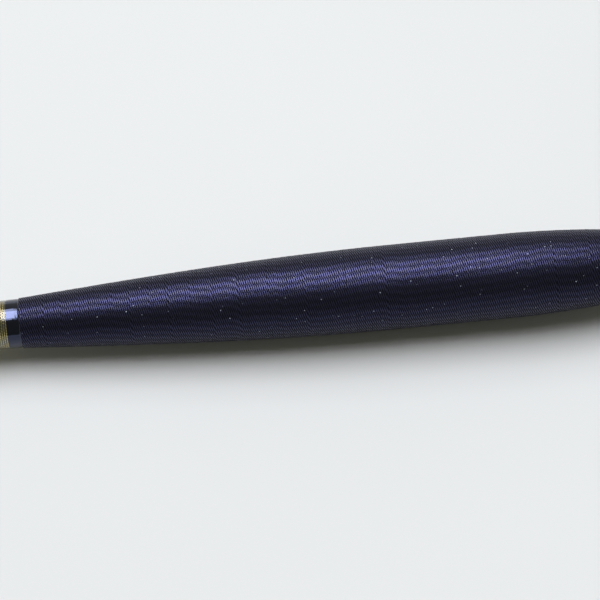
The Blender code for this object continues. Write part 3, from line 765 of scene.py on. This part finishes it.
# Red-brown paint under clear lacquer: glossy, and a little darker where it pools.
red_paint, tree, shader = finish(
    "red_brown_painted_carbon", {"Roughness": 0.3, "Coat Weight": 1.0, "Coat Roughness": 0.05}
)
place = add_node(tree, "TexCoord", {}).outputs["Object"]
along = add_node(
    tree, "Mapping", {"Vector": place, "Scale": (1 / PAINT_RUN, 1 / PAINT_POOL, 1 / PAINT_POOL)}
)
pool = add_node(tree, "TexNoise", {"Vector": along, "Scale": 1.0, "Detail": 2.0})
tint = add_node(tree, "MixRGB", {"Fac": pool, "Color1": linear("#4a1a12"), "Color2": linear("#6e2a1b")})
feed(shader, "Base Color", tint)
fit(tip, "tip_section", red_paint, "tip_lacquer", "tip_blank")

# Line swivel. A steel socket glued over the tip's end holds a headed pin that turns freely, and a wire
# loop soldered to the pin's collar takes the line's cord, so that casting never twists the line.
WIRE = 0.4 * MM
LOOP_FEET = 0.8 * MM  # between the two ends of the wire
LOOP_BEND = 0.4 * MM  # radius of the bend from each straight leg into the ring
NECK_RADIUS = 0.3 * MM
SWIVEL_SIDES = 48
SCRATCHES = 0.3 * MM

socket_rear, hollow, _ = end_of("swivel_socket", "rear")
socket_front, neck_hole, _ = end_of("swivel_socket", "front")
socket_radius = float(corners_of("swivel_socket")[1].max())
outline = [
    (tip_front + 0.15 * MM, 0.0),
    (tip_front + 0.15 * MM, hollow),
    (socket_rear, hollow),
    (socket_rear, socket_radius - 0.2 * MM),
    (socket_rear + 0.8 * MM, socket_radius),
    (socket_front - 3.4 * MM, socket_radius),
    (socket_front - 3.2 * MM, socket_radius - 0.12 * MM),
    (socket_front - 2.8 * MM, socket_radius - 0.12 * MM),
    (socket_front - 2.6 * MM, socket_radius),
    (socket_front - 0.4 * MM, socket_radius),
    (socket_front, socket_radius - 0.3 * MM),
    (socket_front, neck_hole),
    (socket_front - 0.8 * MM, neck_hole),
    (socket_front - 0.8 * MM, 0.7 * MM),
    (socket_front - 1.9 * MM, 0.7 * MM),
    (socket_front - 1.9 * MM, 0.0),
]
socket = turned("swivel_sleeve", outline, sides=SWIVEL_SIDES)

# Stainless steel, drawn and polished: bright and neutral, with fine scratches.
steel, tree, shader = finish("polished_stainless_steel", {"Metallic": 1.0})
place = add_node(tree, "TexCoord", {}).outputs["Object"]
scratch = add_node(tree, "TexNoise", {"Vector": place, "Scale": 1 / SCRATCHES, "Detail": 3.0})
tint = add_node(tree, "MixRGB", {"Fac": scratch, "Color1": linear("#b4b4b2"), "Color2": linear("#d4d3d0")})
feed(shader, "Base Color", tint)
worn = add_node(tree, "MapRange", {"Value": scratch, "To Min": 0.14, "To Max": 0.3})
feed(shader, "Roughness", worn)
fit(socket, "tip_section", steel, "swivel_steel", "swivel_socket")

pin_rear, _, head_radius = end_of("swivel_pin", "rear")
pin_front, _, collar_radius = end_of("swivel_pin", "front")
outline = [
    (pin_rear, 0.0),
    (pin_rear, head_radius - 0.1 * MM),
    (pin_rear + 0.1 * MM, head_radius),
    (pin_rear + 0.7 * MM, head_radius),
    (pin_rear + 0.8 * MM, NECK_RADIUS),
    (pin_front - 0.9 * MM, NECK_RADIUS),
    (pin_front - 0.9 * MM, collar_radius - 0.08 * MM),
    (pin_front - 0.8 * MM, collar_radius),
    (pin_front - 0.15 * MM, collar_radius),
    (pin_front, collar_radius - 0.15 * MM),
    (pin_front, 0.0),
]
pin = turned("swivel_pin_turned", outline, sides=SWIVEL_SIDES)
fit(pin, "line_swivel", steel, "swivel_steel", "swivel_pin")

loop_low, loop_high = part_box("line_loop")
loop_half = loop_high.z
loop_middle = -loop_low.x - loop_half
foot = pin_front + 0.02 * MM
bend_up = LOOP_FEET / 2 + LOOP_BEND
bend_reach = loop_half - WIRE / 2 + LOOP_BEND
lean = math.asin(bend_up / bend_reach)
bend_start = loop_middle - bend_reach * math.cos(lean)
bpy.ops.mesh.primitive_circle_add(
    vertices=16, radius=WIRE / 2, location=(-foot, 0, LOOP_FEET / 2), rotation=(0, math.pi / 2, 0)
)
loop = bpy.context.object
loop.name = loop.data.name = "wire_loop"
bpy.ops.object.transform_apply(location=True, rotation=True, scale=True)
bpy.ops.object.mode_set(mode="EDIT")
bpy.ops.mesh.select_all(action="SELECT")
bpy.ops.mesh.extrude_region_move(TRANSFORM_OT_translate={"value": (foot - bend_start, 0, 0)})
for steps, angle, along, up in (
    (6, lean - math.pi / 2, bend_start, bend_up),
    (40, 2 * math.pi - 2 * lean, loop_middle, 0),
    (6, lean - math.pi / 2, bend_start, -bend_up),
):
    bpy.ops.mesh.spin(steps=steps, angle=angle, center=(-along, 0, up), axis=(0, 1, 0), use_auto_merge=False)
bpy.ops.mesh.extrude_region_move(TRANSFORM_OT_translate={"value": (bend_start - foot, 0, 0)})
close_ends(50)
fit(loop, "line_swivel", steel, "swivel_steel", "line_loop")

# Butt cap. A screw cap of black anodised aluminium, turned with a chamfered head, fluted for the fingers
# and cut with a coarse thread. Unscrewed, it lets the inner sections out for drying.
CAP_SIDES = 144
HEAD_LENGTH = 8.0 * MM
STEM_LENGTH = 12.0 * MM
STEM_CLEARANCE = 0.3 * MM
FLUTES = 24
FLUTE_LENGTH = 5.4 * MM
FLUTE_MIDDLE = 3.4 * MM
FLUTE_DEPTH = 0.42 * MM
FLUTE_CUTTER = 0.95 * MM
RUN_OUT = 0.6 * MM  # length over which a flute's ends curve up
CAP_THREAD_PITCH = 1.0 * MM
CAP_THREAD_TURNS = 8

cap_front = end_of("butt_cap", "front")[0]
cap_radius = float(corners_of("butt_cap")[1].max())
stem_radius = ferrule_bore - STEM_CLEARANCE
stem_front = HEAD_LENGTH + STEM_LENGTH
outline = [
    (0.35 * MM, 0.0),
    (0.35 * MM, 3.6 * MM),
    (0.0, 4.0 * MM),
    (0.0, cap_radius - 1.25 * MM),
    (0.12 * MM, cap_radius - 1.05 * MM),
    (1.05 * MM, cap_radius - 0.12 * MM),
    (1.25 * MM, cap_radius),
    (HEAD_LENGTH - 1.3 * MM, cap_radius),
    (HEAD_LENGTH - 1.15 * MM, cap_radius - 0.2 * MM),
    (HEAD_LENGTH - 0.95 * MM, cap_radius - 0.2 * MM),
    (HEAD_LENGTH - 0.8 * MM, cap_radius),
    (HEAD_LENGTH - 0.1 * MM, cap_radius),
    (HEAD_LENGTH, cap_radius - 0.1 * MM),
    (HEAD_LENGTH, stem_radius),
    (stem_front - 0.4 * MM, stem_radius),
    (stem_front, stem_radius - 0.4 * MM),
    (stem_front, 1.5 * MM),
    (stem_front + 1.8 * MM, 1.5 * MM),
    (cap_front, 1.3 * MM),
    (cap_front, 0.0),
]
cap = turned("fluted_cap", outline, sides=CAP_SIDES)
bpy.ops.mesh.primitive_cylinder_add(
    vertices=32,
    radius=FLUTE_CUTTER,
    depth=FLUTE_LENGTH,
    location=(-FLUTE_MIDDLE, 0, cap_radius + FLUTE_CUTTER - FLUTE_DEPTH),
    rotation=(0, math.pi / 2, 0),
)
cutter = bpy.context.object
bpy.ops.object.transform_apply(location=True, rotation=True, scale=True)
bevel(cutter, RUN_OUT, 4)
bpy.ops.object.mode_set(mode="EDIT")
bpy.ops.mesh.select_all(action="SELECT")
bpy.ops.transform.rotate(value=math.pi / CAP_SIDES, orient_axis="X", center_override=(0, 0, 0))
for k in range(FLUTES - 1):
    bpy.ops.mesh.duplicate()
    bpy.ops.transform.rotate(value=2 * math.pi / FLUTES, orient_axis="X", center_override=(0, 0, 0))
bpy.ops.object.mode_set(mode="OBJECT")
bpy.ops.object.select_all(action="DESELECT")
cap.select_set(True)
bpy.context.view_layer.objects.active = cap
fluting = cap.modifiers.new("flutes", "BOOLEAN")
fluting.object = cutter
fluting.operation = "DIFFERENCE"
bpy.ops.object.modifier_apply(modifier=fluting.name)
bpy.data.objects.remove(cutter)
bevel(cap, 0.06 * MM, 2)
bpy.ops.object.shade_smooth_by_angle(angle=math.radians(35))

ridge = thread_profile("cap_thread", 4, 0.3 * MM, HEAD_LENGTH + 2.2 * MM, stem_radius - 0.15 * MM)
wind(ridge, CAP_THREAD_PITCH, CAP_THREAD_TURNS)
close_ends(30)
cap.select_set(True)
bpy.context.view_layer.objects.active = cap
bpy.ops.object.join()
fit(cap, "butt_cap", anodised, "dark_metal", "butt_cap")

# O-ring. Moulded nitrile rubber, stretched over the cap's stem, that keeps water out and the cap from
# working loose.
FLASH = 1.006  # how far the line where its two moulds met stands out
RUBBER_GRAIN = 0.25 * MM

ring_distances, ring_radii = corners_of("cap_o_ring")
ring_rear, ring_ahead = ring_distances.min(), ring_distances.max()
ring_outer = float(ring_radii.max())
section_radius = (ring_ahead - ring_rear) / 2
bpy.ops.mesh.primitive_torus_add(
    major_segments=96,
    minor_segments=24,
    major_radius=ring_outer - section_radius,
    minor_radius=section_radius,
    location=(-(ring_rear + ring_ahead) / 2, 0, 0),
    rotation=(0, math.pi / 2, 0),
)
o_ring = bpy.context.object
o_ring.name = o_ring.data.name = "nitrile_o_ring"
bpy.ops.object.transform_apply(location=True, rotation=True, scale=True)
for vertex in o_ring.data.vertices:
    if math.hypot(vertex.co.y, vertex.co.z) > ring_outer - WELD / 2:
        vertex.co.yz *= FLASH
bpy.ops.object.shade_smooth_by_angle(angle=math.radians(60))

# Nitrile rubber, moulded: charcoal and matt, with a fine grain.
nitrile, tree, shader = finish("moulded_nitrile_rubber", {"Roughness": 0.7})
place = add_node(tree, "TexCoord", {}).outputs["Object"]
grain = add_node(tree, "TexNoise", {"Vector": place, "Scale": 1 / RUBBER_GRAIN, "Detail": 3.0})
tint = add_node(tree, "MixRGB", {"Fac": grain, "Color1": linear("#1a1a1b"), "Color2": linear("#2b2b2c")})
feed(shader, "Base Color", tint)
pores = add_node(tree, "Bump", {"Height": grain, "Strength": 0.7, "Distance": 0.02 * MM})
feed(shader, "Normal", pores)
fit(o_ring, "butt_cap", nitrile, "soft_rubber", "cap_o_ring")

# Cushion pad. A firm felted pad pushed on the cap's post, so that the inner sections land softly and
# don't rattle.
FELT_FIBRE = 0.35 * MM

pad_rear, pad_hole, pad_radius = end_of("cushion_pad", "rear")
pad_front = end_of("cushion_pad", "front")[0]
hole_end = cap_front + 0.3 * MM
outline = [
    (pad_front - 0.05 * MM, 0.0),
    (pad_front, 1.6 * MM),
    (pad_front - 0.03 * MM, 3.2 * MM),
    (pad_front - 0.35 * MM, pad_radius - 0.45 * MM),
    (pad_front - 0.95 * MM, pad_radius - 0.08 * MM),
    ((pad_front + pad_rear) / 2, pad_radius),
    (pad_rear + 0.95 * MM, pad_radius - 0.08 * MM),
    (pad_rear + 0.3 * MM, pad_radius - 0.4 * MM),
    (pad_rear, pad_radius - 1.0 * MM),
    (pad_rear, pad_hole + 0.15 * MM),
    (pad_rear + 0.15 * MM, pad_hole),
    (hole_end, pad_hole),
    (hole_end, 0.0),
]
pad = turned("felt_pad", outline, sides=64, sharp=70)

# Wool felt, pressed and cut: dark grey, quite matt, with short matted fibres.
felt, tree, shader = finish("pressed_wool_felt", {"Roughness": 0.95, "Sheen Weight": 0.3})
place = add_node(tree, "TexCoord", {}).outputs["Object"]
fibre = add_node(
    tree, "TexNoise", {"Vector": place, "Scale": 1 / FELT_FIBRE, "Detail": 5.0, "Distortion": 1.2}
)
tint = add_node(tree, "MixRGB", {"Fac": fibre, "Color1": linear("#232323"), "Color2": linear("#45444a")})
feed(shader, "Base Color", tint)
matted = add_node(tree, "Bump", {"Height": fibre, "Strength": 1.0, "Distance": 0.1 * MM})
feed(shader, "Normal", matted)
fit(pad, "cushion", felt, "soft_rubber", "cushion_pad")

# Floor. A plain pale board. It lies under the rod's two resting places, the swell of the grip and the
# binding at the mouth, so it tilts a little there, and it is level beyond the tip, so that the drawn
# sections stay over it.
REST_DISTANCE = 121.6 * MM  # of the grip's resting place from the butt
FLOOR_DROP = 12.87 * MM
FLOOR_SLOPE = 0.01644
FLOOR_SIZE = 60.0
FLOOR_BEND = 600 * MM
BOARD_CLOUD = 500 / 3 * MM

bpy.ops.mesh.primitive_plane_add(
    size=FLOOR_SIZE,
    location=(-REST_DISTANCE, 0, -FLOOR_DROP),
    rotation=(0, math.atan(FLOOR_SLOPE), 0),
)
floor = bpy.context.object
floor.name = floor.data.name = "floor"
bpy.ops.object.transform_apply(location=True, rotation=True, scale=True)
bpy.ops.object.mode_set(mode="EDIT")
bpy.ops.mesh.select_all(action="SELECT")
bpy.ops.mesh.bisect(plane_co=(-FLOOR_BEND, 0, 0), plane_no=(1, 0, 0))
bpy.ops.object.mode_set(mode="OBJECT")
bend_height = FLOOR_SLOPE * (FLOOR_BEND - REST_DISTANCE) - FLOOR_DROP
for vertex in floor.data.vertices:
    vertex.co.z = min(vertex.co.z, bend_height)

# Matt pale laminate, plain. Far from the rod it only shows as a pale backdrop, in reflections too.
board, tree, shader = finish("pale_matt_laminate", {"Roughness": 0.65, "Specular IOR Level": 0.3})
place = add_node(tree, "TexCoord", {}).outputs["Object"]
cloud = add_node(tree, "TexNoise", {"Vector": place, "Scale": 1 / BOARD_CLOUD, "Detail": 2.0})
tint = add_node(tree, "MixRGB", {"Fac": cloud, "Color1": linear("#d3d4d3"), "Color2": linear("#d9dad9")})
feed(shader, "Base Color", tint)
centred = add_node(tree, "Mapping", {"Vector": place, "Location": (0.21, 0, 0), "Scale": (0.7, 1, 1)})
reach = add_node(tree, "VectorMath", {0: centred}, operation="LENGTH")
far = add_node(
    tree,
    "MapRange",
    {"Value": reach.outputs["Value"], "From Min": 0.3, "From Max": 0.9},
    interpolation_type="SMOOTHSTEP",
)
path = add_node(tree, "LightPath", {})
seen = add_node(
    tree, "Math", {0: path.outputs["Is Camera Ray"], 1: path.outputs["Is Glossy Ray"]}, operation="ADD"
)
shown = add_node(tree, "Math", {0: seen, 1: path.outputs["Is Transmission Ray"]}, operation="ADD")
backdrop = add_node(tree, "Math", {0: far, 1: shown}, operation="MULTIPLY", use_clamp=True)
pale = add_node(tree, "Emission", {"Color": linear("#e3e5e7"), "Strength": 1.0})
mixed = add_node(tree, "MixShader", {0: backdrop, 1: shader, 2: pale})
feed(tree.nodes["Material Output"], "Surface", mixed)
floor.data.materials.append(board)

# Light. One broad soft light stands over the rod, a little behind it, as a curtained window over a bench
# does. It is two panes, one in front of the other, so that it fades towards its edges. The pale room
# fills in the rest.
LIGHT_DISTANCE = 4.0
PANE_STEP = 0.01  # the deeper pane hangs a little higher, by this part of its depth
LIGHT_ALONG = -0.3
LIGHT_WIDTH = 1.26
LIGHT_PANES = ((2.6, 16.5), (4.3, 19))  # depth, and degrees from straight up, away from the camera
LIGHT_RADIANCE = 14.9
DIM_SIDE = (0.14, 0.14, 0.11, 1.0)  # of the room, towards the camera
BRIGHT_SIDE = (0.46, 0.45, 0.36, 1.0)  # of the room, behind the rod

for depth, degrees in LIGHT_PANES:
    tilt = math.radians(degrees)
    light = bpy.data.lights.new("window", "AREA")
    light.shape = "RECTANGLE"
    light.size = LIGHT_WIDTH
    light.size_y = depth
    light.energy = LIGHT_RADIANCE * math.pi * LIGHT_WIDTH * depth / len(LIGHT_PANES)
    light.color = (0.91, 0.93, 1.0)
    window = bpy.data.objects.new("window", light)
    reach = LIGHT_DISTANCE + PANE_STEP * depth
    window.location = (LIGHT_ALONG, reach * math.sin(tilt), reach * math.cos(tilt))
    window.rotation_euler = (-tilt, 0, 0)
    bpy.context.scene.collection.objects.link(window)

world = bpy.data.worlds.new("room")
world.use_nodes = True
tree = world.node_tree
direction = add_node(tree, "TexCoord", {})
sides = add_node(tree, "SeparateXYZ", {"Vector": direction.outputs["Generated"]})
behind = add_node(
    tree,
    "MapRange",
    {"Value": sides.outputs["Y"], "From Min": -0.5, "From Max": 0.9},
    interpolation_type="SMOOTHSTEP",
)
fill = add_node(tree, "MixRGB", {"Fac": behind, "Color1": DIM_SIDE, "Color2": BRIGHT_SIDE})
height = add_node(tree, "Math", {0: sides.outputs["Z"]}, operation="ABSOLUTE")
wall = add_node(
    tree, "MapRange", {"Value": height, "From Min": 0.095, "From Max": 0.13, "To Min": 1.0, "To Max": 0.0}
)
seen = add_node(tree, "MixRGB", {"Fac": wall, "Color1": fill, "Color2": linear("#e6e8ea")})
feed(tree.nodes["Background"], "Color", seen)
bpy.context.scene.world = world

# Camera. Held at arm's length over the grip with a long lens, and tilted a little, so that the rod climbs
# to the right as it does in the photograph.
VIEW_DISTANCE = 0.989
VIEW_ELEVATION = math.radians(61)
VIEW_ROLL = math.radians(5.55)
VIEW_LENS = 194.0
VIEW_CENTRE = 133.4 * MM
VIEW_BELOW = 1.22 * MM

camera = bpy.data.cameras.new("camera")
camera.lens = VIEW_LENS
camera.sensor_width = 36.0
viewer = bpy.data.objects.new("camera", camera)
viewer.rotation_mode = "ZYX"
viewer.rotation_euler = (math.pi / 2 - VIEW_ELEVATION, 0, -VIEW_ROLL)
turn = viewer.rotation_euler.to_matrix()
aim = Vector((-VIEW_CENTRE, 0, 0)) - VIEW_BELOW * turn.col[1]
viewer.location = aim + VIEW_DISTANCE * turn.col[2]
bpy.context.scene.collection.objects.link(viewer)
bpy.context.scene.camera = viewer
bpy.context.scene.view_settings.view_transform = "Standard"
